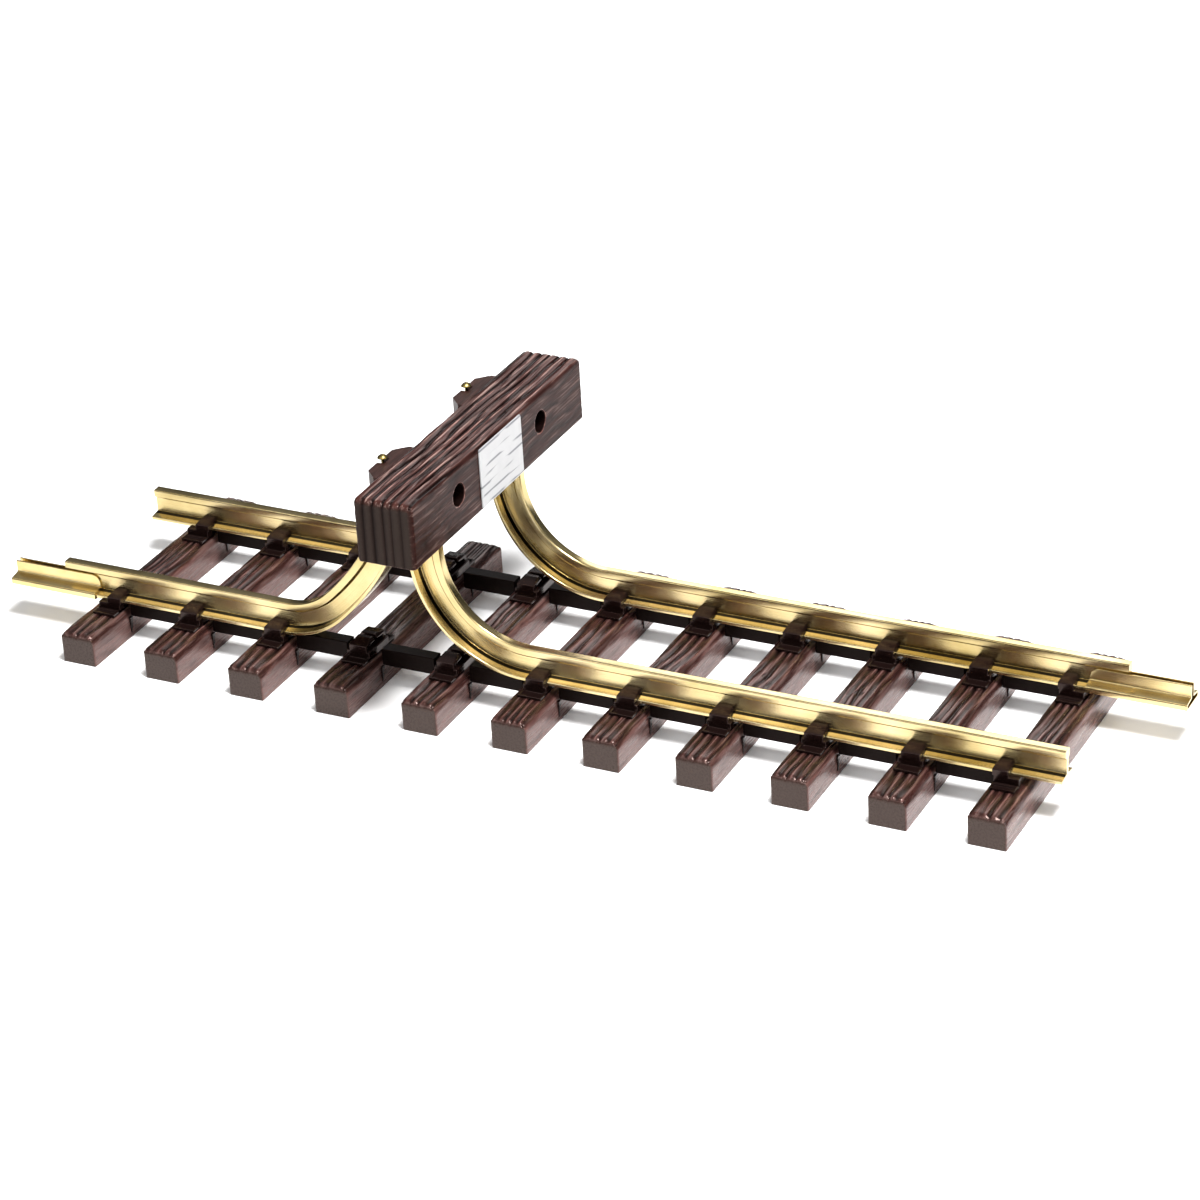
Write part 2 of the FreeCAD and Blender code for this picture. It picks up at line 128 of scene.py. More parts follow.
# Ring marks on three sleepers: number, and (x, y) from the middle of its top
KNOTS = {8: (0.1, 1.4), 9: (-0.4, 1.6), 10: (1.2, 14.8)}
KNOT_RADIUS = 1.0
KNOT_LINE = 0.35                # half the width of the ring's line
KNOT_DEPTH = 0.30
COUNTERBORE_RADIUS = 3.1
COUNTERBORE_DEPTH = 9.0
COUNTERBORE_RIM = 0.35
HOLE_MARGIN = 0.1               # finds the points of a hole's wall in spite of rounding
SCREW_RADIUS = 1.55
CUTTER_OVERRUN_BACK = 2.0       # the cutter of a hole stands out of the beam
CUTTER_OVERRUN_FRONT = 1.0
CUTTER_SEGMENTS = 48
LABEL_CORNER = 0.6
LABEL_BEVEL = 0.12

# Edge roundings of the CAD nodes that stay
CHAIR_EDGE = 0.22
STRINGER_EDGE = 0.25
CLAMP_EDGE = 0.35
SCREW_EDGE = 0.12
PIN_EDGE = 0.08

# Edges that turn by less than this look smooth, in degrees
SMOOTH_BELOW = 35.0
RIB_SMOOTH_BELOW = 30.0
ALL_SMOOTH = 180.0

# Studio, in metres and watts. The ramp gives the sky's grey by the height of the direction.
FLOOR_HALF = 6.0
SKY_RAMP = ((0.22, 0.10), (0.85, 0.95))
SKY_STRENGTH = 0.38
LIGHT_TARGET = (0.0, 0.0, 0.02)
LIGHTS = (                      # name, place, size, power
    ("key_light", (0.45, -0.20, 1.4), 0.40, 49.0),      # from above, for the shadow
    ("foot_light", (-0.66, -0.98, 1.13), 0.6, 3.5),     # mirrored by the rails' feet
    ("front_light", (0.25, -1.15, 1.0), 0.9, 7.0),      # fills the near sides
    ("back_light", (-0.42, 1.43, 0.90), 0.6, 4.0),      # shine on the tops
    ("side_light", (0.62, 0.10, 0.26), 0.3, 0.8),       # low, on the beam's front
)

# Camera of the photograph, without its stretch
CAMERA_PLACE = (0.44809, -0.844106, 0.52895)            # metres
CAMERA_RIGHT = (0.897424, 0.438105, -0.051908)
CAMERA_DOWN = (0.164596, -0.441658, -0.881956)
CAMERA_LENS = 119.03
SENSOR_WIDTH = 36.0
CLIP_START = 0.01               # metres
CLIP_END = 50.0


# ---------------------------------------------------------------- geometry helpers

def limits(node):
    """Lowest and highest corner of a CAD node, in millimetres."""
    low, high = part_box(node)
    return Vector(low) / MM, Vector(high) / MM


def mesh_object(name, vertices, faces, sharp_degrees=SMOOTH_BELOW):
    """A mesh piece from millimetre points, smooth up to the given angle."""
    mesh = bpy.data.meshes.new(name)
    mesh.from_pydata([Vector(v) * MM for v in vertices], [], faces)
    mesh.update()
    mesh.polygons.foreach_set("use_smooth", [True] * len(mesh.polygons))
    mesh.set_sharp_from_angle(angle=math.radians(sharp_degrees))
    piece = bpy.data.objects.new(name, mesh)
    bpy.context.scene.collection.objects.link(piece)
    return piece


def set_grain(piece, values):
    """Fills the point attribute "grain", the darkness that the materials read: wood grain,
    painted shade and a painted dark reflection.
    """
    layer = piece.data.attributes.new("grain", "FLOAT", "POINT")
    layer.data.foreach_set("value", values)


def tube_faces(rings, count):
    """Faces between rings of count points each, and a cap at both ends."""
    faces = []
    for ring in range(rings - 1):
        low = ring * count
        for index in range(count):
            after = (index + 1) % count
            faces.append((low + index, low + after, low + count + after, low + count + index))
    last = (rings - 1) * count
    faces.append(tuple(reversed(range(count))))
    faces.append(tuple(last + index for index in range(count)))
    return faces


def rounded_outline(corners, steps=4):
    """The closed outline through (x, y, radius) corners, with each corner rounded."""
    most = 0.48                 # of a side may go into one corner
    points = []
    count = len(corners)
    for index in range(count):
        x, y, radius = corners[index]
        here = Vector((x, y))
        before = Vector(corners[index - 1][:2]) - here
        after = Vector(corners[(index + 1) % count][:2]) - here
        if radius <= 0.0:
            points.append(here)
            continue
        half_angle = before.angle(after) / 2.0
        reach = radius / math.tan(half_angle)
        reach = min(reach, most * before.length, most * after.length)
        start = here + before.normalized() * reach
        end = here + after.normalized() * reach
        for step in range(steps + 1):
            t = step / steps
            points.append(start.lerp(here, t).lerp(here.lerp(end, t), t))
    return points


def sweep(name, outline, path, shade):
    """Sweeps a closed (y, w) outline along a path of (x, z, heading) stations.

    y stays across the track and w is measured along the path's normal. The UV map
    holds the run along the path and round the outline, in metres. shade(y, w) gives
    the grain value of each point; on the rails it marks the painted dark reflection.
    """
    vertices = []
    for x, z, heading in path:
        up_x, up_z = -math.sin(heading), math.cos(heading)
        vertices += [(x + w * up_x, y, z + w * up_z) for y, w in outline]
    count = len(outline)
    piece = mesh_object(name, vertices, tube_faces(len(path), count))
    runs = [0.0]
    for (x0, z0, _), (x1, z1, _) in zip(path, path[1:]):
        runs.append(runs[-1] + math.hypot(x1 - x0, z1 - z0))
    rounds = [0.0]
    for (y0, w0), (y1, w1) in zip(outline, outline[1:] + outline[:1]):
        rounds.append(rounds[-1] + math.hypot(y1 - y0, w1 - w0))
    uv = piece.data.uv_layers.new(name="run").data
    for polygon in piece.data.polygons:
        in_ring = len(polygon.vertices) == 4
        ring = [v % count for v in polygon.vertices]
        wraps = in_ring and 0 in ring and count - 1 in ring
        for loop, vertex in zip(polygon.loop_indices, polygon.vertices):
            place = vertex % count
            around = rounds[count] if wraps and place == 0 else rounds[place]
            uv[loop].uv = (runs[vertex // count] * MM, around * MM)
    set_grain(piece, [shade(y, w) for y, w in outline] * len(path))
    return piece


def stops(length, edge, step):
    """Grid stops from -length/2 to +length/2, closer together within the edge zones."""
    half = length / 2.0
    inner = half - edge
    count = max(2, round(2.0 * inner / step))
    middle = [-inner + 2.0 * inner * index / count for index in range(count + 1)]
    zone = [half - edge * share for share in EDGE_STOPS]
    return [-v for v in zone] + middle + list(reversed(zone))


def block_shell(stops_x, stops_y, stops_z):
    """Points and quads of a box's six faces on a grid. Points are (x, y, z)."""
    nx, ny, nz = len(stops_x) - 1, len(stops_y) - 1, len(stops_z) - 1
    index_of = {}
    points = []

    def corner(i, j, k):
        key = (i, j, k)
        if key not in index_of:
            index_of[key] = len(points)
            points.append(Vector((stops_x[i], stops_y[j], stops_z[k])))
        return index_of[key]

    faces = []
    for i in range(nx):
        for j in range(ny):
            faces.append((corner(i, j, 0), corner(i, j + 1, 0),
                          corner(i + 1, j + 1, 0), corner(i + 1, j, 0)))
            faces.append((corner(i, j, nz), corner(i + 1, j, nz),
                          corner(i + 1, j + 1, nz), corner(i, j + 1, nz)))
    for i in range(nx):
        for k in range(nz):
            faces.append((corner(i, 0, k), corner(i + 1, 0, k),
                          corner(i + 1, 0, k + 1), corner(i, 0, k + 1)))
            faces.append((corner(i, ny, k), corner(i, ny, k + 1),
                          corner(i + 1, ny, k + 1), corner(i + 1, ny, k)))
    for j in range(ny):
        for k in range(nz):
            faces.append((corner(0, j, k), corner(0, j, k + 1),
                          corner(0, j + 1, k + 1), corner(0, j + 1, k)))
            faces.append((corner(nx, j, k), corner(nx, j + 1, k),
                          corner(nx, j + 1, k + 1), corner(nx, j, k + 1)))
    return points, faces


def rough(x, y, z):
    """Smooth noise between about -1 and 1, the same on every run."""
    return noise.noise(Vector((x, y, z)))


def squeeze(a, b, half_a, half_b, radius):
    """Moves (a, b) near the corner (half_a, half_b) so that the corner is rounded."""
    over_a = a * math.copysign(1.0, half_a) - (abs(half_a) - radius)
    over_b = b * math.copysign(1.0, half_b) - (abs(half_b) - radius)
    if over_a <= 0.0 or over_b <= 0.0:
        return a, b
    shrink = max(over_a, over_b) / math.hypot(over_a, over_b)
    a = math.copysign(abs(half_a) - radius + over_a * shrink, half_a)
    b = math.copysign(abs(half_b) - radius + over_b * shrink, half_b)
    return a, b


def rounded_box_point(point, half, roundings):
    """Moves a point of a box's skin onto the skin with rounded edges."""
    x, y, z = point
    x, z = squeeze(x, z, -half.x, half.z, roundings.back_top)
    x, z = squeeze(x, z, half.x, half.z, roundings.front_top)
    for sign in (-1.0, 1.0):
        y, z = squeeze(y, z, sign * half.y, half.z, roundings.end_top)
        x, z = squeeze(x, z, sign * half.x, -half.z, roundings.bottom)
        y, z = squeeze(y, z, sign * half.y, -half.z, roundings.bottom)
        x, y = squeeze(x, y, sign * half.x, -half.y, roundings.upright)
        x, y = squeeze(x, y, sign * half.x, half.y, roundings.upright)
    return Vector((x, y, z))


def ridge_grain(x, y, ridges, seed):
    """From 0 on a ridge's crest to 1 in a groove, for ridges that run along y.

    The ridges wander in long waves with shorter ones on top, and each groove has its own
    strength, which changes slowly along it.
    """
    pitch, wander = ridges
    shift = wander * rough(x * 0.10, y * 0.035, seed)
    shift += 0.35 * wander * rough(x * 0.35, y * 0.11, seed + 11.3)
    phase = x / pitch + shift
    groove = 1.0 - abs(math.sin(math.pi * phase))
    strength = 0.85 + 0.5 * rough(math.floor(phase) * 3.7, y * 0.05, seed + 23.1)
    return max(0.0, min(1.0, groove * strength))


def grained_block(name, low, high, steps, roundings, depth_at):
    """A rounded block with modelled wood grain.

    depth_at(kind, a, b) gives (depth, darkness) for the "top", "side" and "end"
    faces, and their shares follow the way the skin faces. The depth goes inward, so
    the block never leaves its CAD box.
    """
    middle = (low + high) / 2.0
    half = (high - low) / 2.0
    zone = EDGE_ZONE * max(roundings.back_top, roundings.front_top, roundings.end_top)
    grid = [stops(2.0 * half[axis], zone, steps[axis]) for axis in range(3)]
    points, faces = block_shell(*grid)
    skin = [rounded_box_point(point, half, roundings) for point in points]
    piece = mesh_object(name, [middle + point for point in skin], faces, ALL_SMOOTH)
    other_side = 50.0           # keeps the two sides' grain apart
    least_share = 0.001
    darkness = []
    for vertex, point in zip(piece.data.vertices, skin):
        out = vertex.normal.copy()
        parts = (
            (max(0.0, out.z) ** 2, "top", point.x, point.y),
            (out.x ** 2, "side", point.z + other_side * (out.x > 0.0), point.y),
            (out.y ** 2, "end", point.x, point.z),
        )
        depth = 0.0
        dark = 0.0
        for weight, kind, a, b in parts:
            if weight > least_share:
                this_depth, this_dark = depth_at(kind, a, b)
                depth += weight * this_depth
                dark += weight * this_dark
        darkness.append(dark)
        point -= out * depth
    for vertex, point in zip(piece.data.vertices, skin):
        vertex.co = (middle + point) * MM
    piece.data.update()
    set_grain(piece, darkness)
    return piece


def lathe(name, profile, segments):
    """A closed solid turned round +X from (x, radius) points."""
    vertices = []
    for x, radius in profile:
        for index in range(segments):
            angle = 2.0 * math.pi * index / segments
            vertices.append((x, radius * math.cos(angle), radius * math.sin(angle)))
    return mesh_object(name, vertices, tube_faces(len(profile), segments))


def join(piece, other):
    """Adds the other piece's mesh to the first one and deletes the other."""
    both = [piece, other]
    with bpy.context.temp_override(active_object=piece, selected_editable_objects=both):
        bpy.ops.object.join()


def apply_modifiers(piece):
    """Bakes the modifiers of a piece of this script into its mesh."""
    graph = bpy.context.evaluated_depsgraph_get()
    mesh = bpy.data.meshes.new_from_object(piece.evaluated_get(graph))
    piece.modifiers.clear()
    piece.data = mesh


def cut(piece, cutter):
    """Takes the cutter's shape out of the piece and deletes the cutter."""
    modifier = piece.modifiers.new("cut", "BOOLEAN")
    modifier.operation = "DIFFERENCE"
    modifier.solver = "EXACT"
    modifier.object = cutter
    apply_modifiers(piece)
    bpy.data.objects.remove(cutter)


def soften(node, width, segments=2, angle=30.0):
    """Rounds a CAD node's edges with modifiers and leaves its own mesh alone.

    The triangles are first joined into flat faces, so that only true edges are rounded:
    those that turn by more than the angle, in degrees.
    """
    same_point = 0.001
    flat_within = 0.5           # degrees
    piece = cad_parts[node]
    weld = piece.modifiers.new("weld", "WELD")
    weld.merge_threshold = same_point * MM
    flat = piece.modifiers.new("flat", "DECIMATE")
    flat.decimate_type = "DISSOLVE"
    flat.angle_limit = math.radians(flat_within)
    bevel = piece.modifiers.new("bevel", "BEVEL")
    bevel.limit_method = "ANGLE"
    bevel.angle_limit = math.radians(angle)
    bevel.width = width * MM
    bevel.segments = segments
    bevel.harden_normals = True
    return piece


# ---------------------------------------------------------------- materials

class Nodes:
    """Short calls for building one material's node tree."""

    def __init__(self, name):
        self.material = bpy.data.materials.new(name)
        self.material.use_nodes = True
        self.tree = self.material.node_tree
        self.shader = self.tree.nodes["Principled BSDF"]

    def add(self, kind, **settings):
        node = self.tree.nodes.new(kind)
        for key, value in settings.items():
            setattr(node, key, value)
        return node

    def link(self, source, target):
        self.tree.links.new(source, target)

    def noise(self, vector, scale, detail=4.0):
        """Noise with about scale cells to the unit, which is a metre as a rule."""
        node = self.add("ShaderNodeTexNoise")
        node.inputs["Scale"].default_value = scale
        node.inputs["Detail"].default_value = detail
        node.inputs["Roughness"].default_value = 0.55
        self.link(vector, node.inputs["Vector"])
        return node.outputs["Fac"]

    def streaks(self, vector, cells, detail):
        """Noise with its own number of cells to the metre in x, y and z."""
        mapping = self.add("ShaderNodeMapping")
        mapping.inputs["Scale"].default_value = cells
        self.link(vector, mapping.inputs["Vector"])
        return self.noise(mapping.outputs["Vector"], 1.0, detail)

    def ramp(self, factor, colours):
        """A colour ramp through (place, colour) pairs."""
        node = self.add("ShaderNodeValToRGB")
        elements = node.color_ramp.elements
        while len(elements) < len(colours):
            elements.new(0.5)
        for element, (place, colour) in zip(elements, colours):
            element.position = place
            element.color = (*colour, 1.0)
        self.link(factor, node.inputs["Fac"])
        return node.outputs["Color"]

    def span(self, value, low, high):
        """Maps 0..1 to low..high."""
        node = self.add("ShaderNodeMapRange")
        node.inputs["To Min"].default_value = low
        node.inputs["To Max"].default_value = high
        self.link(value, node.inputs["Value"])
        return node.outputs["Result"]

    def mix(self, factor, first, second, blend="MIX"):
        """Mixes two colours. The factor and the colours are values or sockets."""
        node = self.add("ShaderNodeMix", data_type="RGBA", blend_type=blend)
        factor_socket, first_socket, second_socket, result_socket = 0, 6, 7, 2
        for socket, value in ((factor_socket, factor), (first_socket, first),
                              (second_socket, second)):
            if isinstance(value, bpy.types.NodeSocket):
                self.link(value, node.inputs[socket])
            elif socket == factor_socket:
                node.inputs[socket].default_value = value
            else:
                node.inputs[socket].default_value = (*value, 1.0)
        return node.outputs[result_socket]

    def math(self, operation, first, second=0.0):
        """A sum, product and so on of values or sockets."""
        node = self.add("ShaderNodeMath", operation=operation)
        for socket, value in ((0, first), (1, second)):
            if isinstance(value, bpy.types.NodeSocket):
                self.link(value, node.inputs[socket])
            else:
                node.inputs[socket].default_value = value
        return node.outputs[0]

    def bump(self, height, distance, strength=1.0):
        """A bump of the given distance in millimetres."""
        node = self.add("ShaderNodeBump")
        node.inputs["Distance"].default_value = distance * MM
        node.inputs["Strength"].default_value = strength
        self.link(height, node.inputs["Height"])
        return node.outputs["Normal"]

    def object_place(self):
        return self.add("ShaderNodeTexCoord").outputs["Object"]

    def set(self, **values):
        """Sets or links the shader's sockets; Base_Color stands for "Base Color"."""
        for key, value in values.items():
            socket = self.shader.inputs[key.replace("_", " ")]
            if isinstance(value, bpy.types.NodeSocket):
                self.link(value, socket)
            else:
                socket.default_value = value


def brass(name, colour, dark, along_uv, streak, polish):
    """Drawn brass: fine streaks along the metal, an uneven polish and faint tarnish.

    The streaks follow the run of the UV map where along_uv is true, and the object's x
    elsewhere. The point attribute "grain" paints a dark reflection on the metal beside
    the web. The roughness lies near polish.
    """
    n = Nodes(name)
    if along_uv:
        place = n.add("ShaderNodeUVMap", uv_map="run").outputs["UV"]
        drawn_cells, hair_cells = (18.0, 2600.0, 1.0), (60.0, 7000.0, 1.0)
    else:
        place = n.object_place()
        drawn_cells, hair_cells = (18.0, 2200.0, 2200.0), (60.0, 8000.0, 8000.0)
    drawn = n.streaks(place, drawn_cells, detail=3.0)
    hair = n.streaks(place, hair_cells, detail=2.0)
    cloud = n.noise(n.object_place(), 45.0, detail=4.0)
    dark_reflection_mask = n.add("ShaderNodeAttribute", attribute_name="grain").outputs["Fac"]
    tone = n.mix(n.span(cloud, -0.6, 1.6), dark, colour)
    tone = n.mix(n.math("MULTIPLY", n.span(drawn, -0.5, 1.1), 0.35 * streak), tone, dark)
    # Painted dark reflection: near black where the grain attribute marks the line beside the web.
    tone = n.mix(dark_reflection_mask, tone, [0.04 * d for d in dark])
    height = n.math("ADD", drawn, n.math("MULTIPLY", hair, 0.5))
    n.set(Base_Color=tone, Metallic=1.0,
          Roughness=n.span(n.math("ADD", drawn, cloud), polish - 0.08, polish + 0.06),
          Normal=n.bump(height, 0.010 * streak))
    return n.material


def grained_plastic(name, crest, ridge, groove, end_face, gloss, shine, side_shine):
    """Moulded plastic with modelled grain.

    The grooves are dark, the ridges reddish brown and the crests light: the grain's own
    light ridge tops, brightened as a painted highlight. Fine painted highlight lines in the
    crest's colour run along them. The end faces are smoother and greyer. The roughness lies
    near gloss. shine is the mirroring of faces that look up, side_shine that of upright ones.
    """
    n = Nodes(name)
    place = n.object_place()
    grain = n.add("ShaderNodeAttribute", attribute_name="grain").outputs["Fac"]
    split = n.add("ShaderNodeSeparateXYZ")
    n.link(n.add("ShaderNodeNewGeometry").outputs["True Normal"], split.inputs["Vector"])
    facing = n.math("POWER", n.math("ABSOLUTE", split.outputs["Y"]), 6.0)
    upward = n.math("MAXIMUM", split.outputs["Z"])
    fibre = n.streaks(place, (1500.0, 130.0, 1500.0), detail=5.0)
    hair = n.streaks(place, (1500.0, 70.0, 1500.0), detail=3.0)
    cloud = n.noise(place, 70.0, detail=3.0)
    depth = n.math("ADD", grain, n.span(fibre, -0.22, 0.22))
    halfway = [0.45 * r + 0.55 * g for r, g in zip(ridge, groove)]
    # The crest colour: the grain's light ridge tops, brightened as a painted highlight.
    tone = n.ramp(depth, [(0.04, crest), (0.16, ridge), (0.48, halfway), (0.80, groove)])
    tone = n.mix(n.span(cloud, 0.0, 1.0), tone, (1.20, 0.82, 0.78), "MULTIPLY")
    # Painted highlight: fine hair lines in the crest colour along the ridges' tops.
    lines = n.ramp(hair, [(0.54, (0.0, 0.0, 0.0)), (0.62, (1.0, 1.0, 1.0))])
    painted_highlight_lines = n.math("MULTIPLY", lines, n.span(grain, 0.95, -0.6))
    tone = n.mix(painted_highlight_lines, tone, crest)
    end_tone = n.ramp(n.math("ADD", grain, n.span(cloud, -0.1, 0.1)),
                      [(0.10, end_face), (0.80, groove)])
    tone = n.mix(facing, tone, end_tone)
    height = n.math("ADD", fibre, n.math("MULTIPLY", hair, 0.7))
    smooth = n.span(facing, 0.8, 0.05)
    bump = n.bump(height, 0.06)
    n.link(smooth, bump.node.inputs["Strength"])
    n.set(Base_Color=tone, Roughness=n.span(fibre, gloss - 0.08, gloss + 0.14),
          Specular_IOR_Level=n.span(upward, side_shine, shine), Specular_Tint=SHEEN,
          Normal=bump)
    return n.material


def moulded_plastic(name, colour, gloss, fibres, shine):
    """Plain moulded plastic: mottled, with fine pores and, with fibres above 0, streaks."""
    n = Nodes(name)
    place = n.object_place()
    cloud = n.noise(place, 160.0, detail=4.0)
    pores = n.noise(place, 2600.0, detail=2.0)
    fibre = n.streaks(place, (1300.0, 140.0, 1300.0), detail=5.0)
    tone = n.mix(n.span(cloud, 0.0, 0.9), colour, [0.45 * c for c in colour])
    streak = n.ramp(fibre, [(0.40, (1.0, 1.0, 1.0)), (0.60, (0.25, 0.22, 0.22))])
    tone = n.mix(fibres, tone, streak, "MULTIPLY")
    height = n.math("ADD", pores, n.math("MULTIPLY", fibre, 6.0 * fibres))
    n.set(Base_Color=tone, Roughness=n.span(cloud, gloss - 0.1, gloss + 0.12),
          Specular_IOR_Level=shine, Specular_Tint=SHEEN,
          Normal=n.bump(height, 0.02, 0.6))
    return n.material


def blank_print(name):
    """White printed plate: faint grey rules of uneven length, with no lettering."""
    n = Nodes(name)
    place = n.object_place()
    rules = n.add("ShaderNodeTexWave", wave_type="BANDS", bands_direction="Z",
                  wave_profile="SIN")
    rules.inputs["Scale"].default_value = 115.0
    n.link(place, rules.inputs["Vector"])
    line = n.ramp(rules.outputs["Fac"], [(0.80, (0, 0, 0)), (0.93, (1, 1, 1))])
    breaks = n.ramp(n.streaks(place, (1.0, 62.0, 420.0), detail=1.0),
                    [(0.47, (0, 0, 0)), (0.53, (1, 1, 1))])
    ink = n.math("MULTIPLY", line, breaks)
    paper = n.mix(n.noise(place, 240.0), (0.47, 0.47, 0.475), (0.38, 0.38, 0.39))
    n.set(Base_Color=n.mix(ink, paper, (0.15, 0.15, 0.165)),
          Roughness=n.span(n.noise(place, 900.0), 0.35, 0.5),
          Normal=n.bump(n.noise(place, 1800.0), 0.01, 0.4))
    return n.material


def floor_paint():
    """Matt white paint, very faintly uneven."""
    n = Nodes("studio_floor")
    cloud = n.noise(n.object_place(), 3.0)
    n.set(Base_Color=n.mix(cloud, (0.88, 0.88, 0.88), (0.86, 0.86, 0.86)), Roughness=0.7)
    return n.material


def dress(piece, material):
    """Gives a piece one material in every slot."""
    if piece.data.materials:
        for index in range(len(piece.data.materials)):
            piece.data.materials[index] = material
    else:
        piece.data.materials.append(material)


SHEEN = (1.0, 0.72, 0.65, 1.0)  # the plastics' warm tint of what they mirror
RAIL_BRASS = brass(
    "rail_brass", colour=(0.84, 0.69, 0.40), dark=(0.38, 0.29, 0.110),
    along_uv=True, streak=1.4, polish=0.16)
JOINER_BRASS = brass(
    "joiner_brass", colour=(0.88, 0.72, 0.39), dark=(0.50, 0.36, 0.13),
    along_uv=False, streak=0.8, polish=0.15)
PIN_BRASS = brass(
    "pin_brass", colour=(0.38, 0.30, 0.12), dark=(0.13, 0.09, 0.025),
    along_uv=False, streak=0.6, polish=0.28)
SCREW_BRASS = brass(
    "screw_brass", colour=(0.16, 0.12, 0.05), dark=(0.05, 0.035, 0.012),
    along_uv=False, streak=0.6, polish=0.4)
# The crest colours hold the grain's light ridge tops and a painted highlight on them.
SLEEPER_PLASTIC = grained_plastic(
    "sleeper_plastic", crest=(0.092, 0.056, 0.050), ridge=(0.028, 0.0125, 0.0106),
    groove=(0.0026, 0.0012, 0.0010), end_face=(0.028, 0.021, 0.0175),
    gloss=0.25, shine=0.36, side_shine=0.36)
BEAM_PLASTIC = grained_plastic(
    "beam_plastic", crest=(0.230, 0.150, 0.130), ridge=(0.041, 0.0170, 0.0140),
    groove=(0.0032, 0.0014, 0.0012), end_face=(0.034, 0.025, 0.021),
    gloss=0.29, shine=0.24, side_shine=0.05)
CHAIR_PLASTIC = moulded_plastic(
    "chair_plastic", colour=(0.0075, 0.0034, 0.0030), gloss=0.16, fibres=0.0, shine=0.34)
STRINGER_PLASTIC = moulded_plastic(
    "stringer_plastic", colour=(0.0034, 0.0018, 0.0016), gloss=0.40, fibres=0.0, shine=0.08)
CLAMP_PLASTIC = moulded_plastic(
    "clamp_plastic", colour=(0.038, 0.0155, 0.0125), gloss=0.38, fibres=0.8, shine=0.20)
LABEL_PRINT = blank_print("label_print")


# ---------------------------------------------------------------- pieces

def bent_path(start_x, base_z, straight, bends, top_z):
    """Stations (x, z, heading) of a rail's underside, running along +X and then up."""
    path = [(start_x, base_z, 0.0), (start_x + straight, base_z, 0.0)]
    x, z, heading = path[-1]
    for radius, angle in bends:
        count = math.ceil(angle / BEND_STEP)
        start = heading
        from_x, from_z = x, z
        for step in range(1, count + 1):
            heading = start + math.radians(angle) * step / count
            x = from_x + radius * (math.sin(heading) - math.sin(start))
            z = from_z + radius * (math.cos(start) - math.cos(heading))
            path.append((x, z, heading))
    rise = top_z - z
    path.append((x + rise / math.tan(heading), top_z, heading))
    return path


def foot_top(y):
    """Height of the foot's sloping upper face above the rail base."""
    foot = FOOT_WIDTH / 2.0
    return FOOT_EDGE + FOOT_SLOPE_RISE * (foot - y) / (foot - WEB_THICKNESS / 2.0)


def rail_outline():
    """The rail's section as closed (y, z) points, with extra points at the edges of the painted
    dark reflection line.
    """
    web = WEB_THICKNESS / 2.0
    head = HEAD_WIDTH / 2.0
    foot = FOOT_WIDTH / 2.0
    head_bottom = RAIL_HEIGHT - HEAD_DEPTH
    slope = [REFLECTION_LINE_TO + REFLECTION_LINE_FADE, REFLECTION_LINE_TO, REFLECTION_LINE_FROM, REFLECTION_LINE_FROM - REFLECTION_LINE_FADE]
    half = [
        (foot, 0.0, 0.5 * FOOT_ROUNDING),
        (foot, FOOT_EDGE, FOOT_ROUNDING),
        *[(y, foot_top(y), 0.0) for y in slope],
        (web, FOOT_EDGE + FOOT_SLOPE_RISE, WEB_FILLET),
        (web, head_bottom - HEAD_UNDERCUT, WEB_FILLET),
        (head, head_bottom, HEAD_UNDER_ROUNDING),
        (head, RAIL_HEIGHT, HEAD_ROUNDING),
    ]
    other = [(-y, z, radius) for y, z, radius in reversed(half)]
    return [tuple(p) for p in rounded_outline(half + other)]


def painted_reflection_line(y, z):
    """1 on the foot's line of painted dark reflection, 0 on the rest of the rail."""
    on_line = REFLECTION_LINE_FROM - REFLECTION_LINE_MARGIN <= abs(y) <= REFLECTION_LINE_TO + REFLECTION_LINE_MARGIN
    return 1.0 if on_line and FOOT_EDGE < z < FOOT_EDGE + FOOT_SLOPE_RISE else 0.0


def rail(node, bends, faces_back):
    """One bent rail. faces_back is true for the rails that come from the open end."""
    low, high = limits(node)
    bend_run = 0.0
    heading = 0.0
    for radius, angle in bends:
        turned = heading + math.radians(angle)
        bend_run += radius * (math.sin(turned) - math.sin(heading))
        heading = turned
    middle_y = (low.y + high.y) / 2.0
    if faces_back:
        straight = high.x - low.x - bend_run
        start = -high.x
    else:
        straight = rear_bend_x() - low.x
        start = low.x
    lean = RAIL_HEIGHT * math.cos(heading)
    path = bent_path(start, low.z, straight, bends, high.z - lean)
    # The rail's grain attribute holds the painted dark reflection beside the web.
    piece = sweep(node + "_drawn", rail_outline(), path, painted_reflection_line)
    matrix = Matrix.Translation(Vector((0.0, middle_y, 0.0)) * MM)
    if faces_back:
        matrix = matrix @ Matrix.Rotation(math.pi, 4, "Z")
    piece.data.transform(matrix)
    dress(piece, RAIL_BRASS)
    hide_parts(node)
    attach(piece, "root")


def rear_bend_x():
    """Where the rear rails start to bend: just past the middle of the third sleeper."""
    low, high = limits("sleeper_03")
    return (low.x + high.x) / 2.0 + REAR_BEND_PAST_SLEEPER


